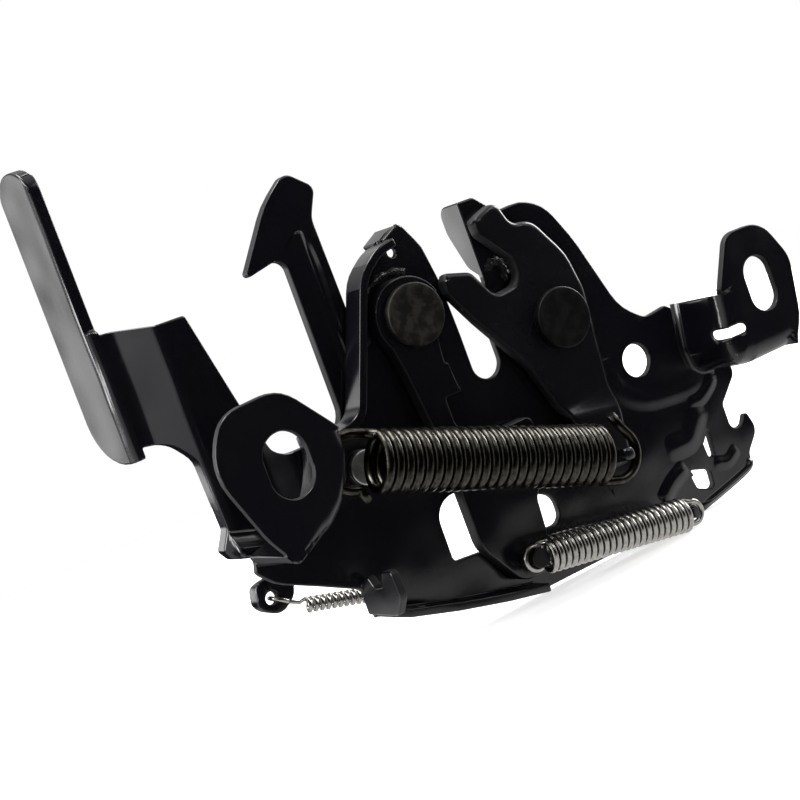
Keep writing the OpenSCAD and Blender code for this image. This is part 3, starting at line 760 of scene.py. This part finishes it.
root = np.concatenate([quarter((ROOT_R, -ROOT_R), ROOT_R, 180, 90, 9), [
    [ROOT_R, INTO_SHEET], [-INTO_SHEET, INTO_SHEET], [-INTO_SHEET, -ROOT_R]]])
swept_section("right_wall_root", RIGHT_WALL[:-6], root, PLATE_FRONT, "base_plate")
lip = np.concatenate([quarter((0, LIP_FRONT), LIP_R, 90, 0, 9), [
    [LIP_R + 0.3, LIP_FRONT - 0.4], [LIP_R + LIP_T - 0.3, LIP_FRONT - 0.4], [LIP_R + LIP_T, LIP_FRONT],
    [LIP_R + LIP_T, LEVER_FACE + INTO_SHEET], [0, LEVER_FACE + INTO_SHEET]]])
lip_line = np.linspace((-79.2, -17.4), (-68.6, -20.6), 24)
swept_section("lever_lip", lip_line, lip, LEVER_FACE, "safety_hook", 0.16)


def grease_smear(name, pivot, radius, width, start, end, height, face_y, node):
    """Uneven ridge of grease round a pivot: its width and height swell with sums of sines along the arc, and
    it fades as a sine at both ends."""
    count, fading = 90, 0.15
    angle = np.radians(np.linspace(start, end, count))
    swell = 0.75 + 0.15 * np.sin(angle * 11) + 0.1 * np.sin(angle * 23 + 1)
    fade = np.sin(np.pi / 2 * from_ends(count, fading))
    top = np.linspace(-1, 1, 13)
    across = np.append(top, [1, -1])
    rise = np.append(np.cos(np.pi / 2 * top) ** 0.7, [-0.3, -0.3])
    reach = radius + width / 2 * across[None, :] * swell[:, None]
    depth = face_y - height * np.where(rise < 0, rise, rise * (swell * fade)[:, None])
    rings = np.stack([pivot[0] + reach * np.cos(angle)[:, None], depth,
                      pivot[1] + reach * np.sin(angle)[:, None]], axis=2)
    return grid_piece(name, rings, grease, body_of_node[node], slot_of_node[node])


CLAW_NOTCH = (12.4, 17.0)
grease_smear("pawl_grease", PAWL_PIVOT, 11.6, 2.6, 62, 196, 1.5, PLATE_FRONT, "base_plate")
grease_smear("claw_grease", CLAW_NOTCH, 2.6, 3.0, -70, 160, 0.4, PLATE_FRONT, "base_plate")


# Studio: pale floor, white surroundings, soft lamps and the camera

def seen_directly(tree, rays):
    """1 for a ray from the camera, also through glass."""
    return sums(tree, "MAXIMUM", rays["Is Camera Ray"], rays["Is Transmission Ray"])


def studio_floor(level):
    """Square floor whose white is partly its own, so that it keeps the latch's shadow. Mirrored, it is white
    beside and below the latch and dim farther in front and behind."""
    side, own_white, dim = 0.42, 0.6, 0.015
    mesh = bpy.data.meshes.new("floor")
    corners = [(-side, -side, level), (side, -side, level), (side, side, level), (-side, side, level)]
    mesh.from_pydata(corners, [], [(0, 1, 2, 3)])
    made = bpy.data.objects.new("floor", mesh)
    bpy.context.scene.collection.objects.link(made)
    paint = bpy.data.materials.new("pale floor")
    paint.use_nodes = True
    tree = paint.node_tree
    tree.nodes.clear()
    rays = put(tree, "ShaderNodeLightPath").outputs
    matt = put(tree, "ShaderNodeBsdfDiffuse", {"Color": rgb(0.86, 0.86, 0.86)})
    own = put(tree, "ShaderNodeEmission", {"Strength": own_white})
    both = put(tree, "ShaderNodeAddShader", {0: matt.outputs[0], 1: own.outputs[0]})
    direct = put(tree, "ShaderNodeMixShader", {0: seen_directly(tree, rays), 1: matt.outputs[0],
                                               2: both.outputs[0]})
    place = put(tree, "ShaderNodeSeparateXYZ", {0: object_place(tree)})
    beside = ramp(tree, sums(tree, "ABSOLUTE", place.outputs["Y"]), 0.1, 0.02)
    near = put(tree, "ShaderNodeMapRange", {"Value": beside, "To Min": dim})
    mirrored = put(tree, "ShaderNodeEmission", {"Strength": near.outputs[0]})
    shown = put(tree, "ShaderNodeMixShader", {0: rays["Is Glossy Ray"], 1: direct.outputs[0],
                                              2: mirrored.outputs[0]})
    tree.links.new(shown.outputs[0], put(tree, "ShaderNodeOutputMaterial").inputs[0])
    mesh.materials.append(paint)


# Direction, rim, core and brightness of the backdrop that the paddle and the guide lip mirror, and of the
# paler one above it
BACKDROPS = [((-0.45, 0.885, -0.1), 0.84, 0.985, 3.0), ((0.15, 0.87, 0.47), 0.86, 0.98, 0.7)]


def surroundings():
    """White background; in reflections the sides, the top and two backdrops are bright, and the front and the
    back are dim."""
    dim, plain = 0.012, 0.55
    world = bpy.data.worlds.new("studio")
    bpy.context.scene.world = world
    world.use_nodes = True
    tree = world.node_tree
    tree.nodes.clear()
    rays = put(tree, "ShaderNodeLightPath").outputs
    way = put(tree, "ShaderNodeTexCoord").outputs["Generated"]
    depth = sums(tree, "ABSOLUTE", put(tree, "ShaderNodeSeparateXYZ", {0: way}).outputs["Y"])
    sides = put(tree, "ShaderNodeMapRange", {"Value": ramp(tree, depth, 0.74, 0.34), "To Min": dim})
    mirrored = sides.outputs[0]
    for middle, rim, core, bright in BACKDROPS:
        towards = put(tree, "ShaderNodeVectorMath", {0: way, 1: middle}, operation="DOT_PRODUCT")
        backdrop = sums(tree, "MULTIPLY", ramp(tree, towards.outputs["Value"], rim, core), bright)
        mirrored = sums(tree, "MAXIMUM", mirrored, backdrop)
    soft = mixed(tree, rays["Is Glossy Ray"], plain, mirrored)
    strength = mixed(tree, seen_directly(tree, rays), soft, 1.0)
    light = put(tree, "ShaderNodeBackground", {"Color": rgb(1, 1, 1), "Strength": strength})
    tree.links.new(light.outputs[0], put(tree, "ShaderNodeOutputWorld").inputs[0])


def soft_lamp(name, at, target, size, power):
    """Square soft lamp that looks from its place to a target, and isn't seen itself."""
    data = bpy.data.lights.new(name, "AREA")
    data.shape = "RECTANGLE"
    data.size, data.size_y = size
    data.energy = power
    made = bpy.data.objects.new(name, data)
    bpy.context.scene.collection.objects.link(made)
    made.location = at
    made.rotation_euler = (Vector(target) - Vector(at)).to_track_quat("-Z", "Y").to_euler()
    made.visible_camera = False


def camera(at, azimuth, elevation, roll, lens):
    """Camera at a place in millimetres, turned by azimuth from +Y to +X, down by elevation, and rolled."""
    a, e, r = np.radians([azimuth, elevation, roll])
    right0 = np.array([math.cos(a), -math.sin(a), 0])
    forward = np.array([math.sin(a) * math.cos(e), math.cos(a) * math.cos(e), -math.sin(e)])
    up0 = np.cross(right0, forward)
    right = math.cos(r) * right0 - math.sin(r) * up0
    up = math.sin(r) * right0 + math.cos(r) * up0
    data = bpy.data.cameras.new("camera")
    data.sensor_width = 36
    data.lens = lens
    data.clip_start = 0.01
    made = bpy.data.objects.new("camera", data)
    bpy.context.scene.collection.objects.link(made)
    turned = np.eye(4)
    turned[:3, :3] = np.stack([right, up, -forward], axis=1)
    turned[:3, 3] = np.array(at) * MM
    made.matrix_world = Matrix(turned.tolist())
    bpy.context.scene.camera = made


studio_floor(cad_box[0][2])
surroundings()
soft_lamp("top lamp", (-0.15, 0.1, 0.9), (0, 0, 0), (0.6, 0.4), 10)
soft_lamp("front top lamp", (0.42, -0.6, 0.52), (0, 0, 0), (0.35, 0.35), 1.0)
soft_lamp("left lamp", (-0.8, 0.15, 0.25), (-0.02, 0, 0), (0.3, 0.6), 8)
soft_lamp("right lamp", (0.75, 0.1, 0.3), (0.03, 0, 0), (0.3, 0.5), 6)
camera((-241.0, -399.9, 43.5), 28.12, 5.95, 20.24, 82.34)
bpy.context.scene.view_settings.view_transform = "Standard"
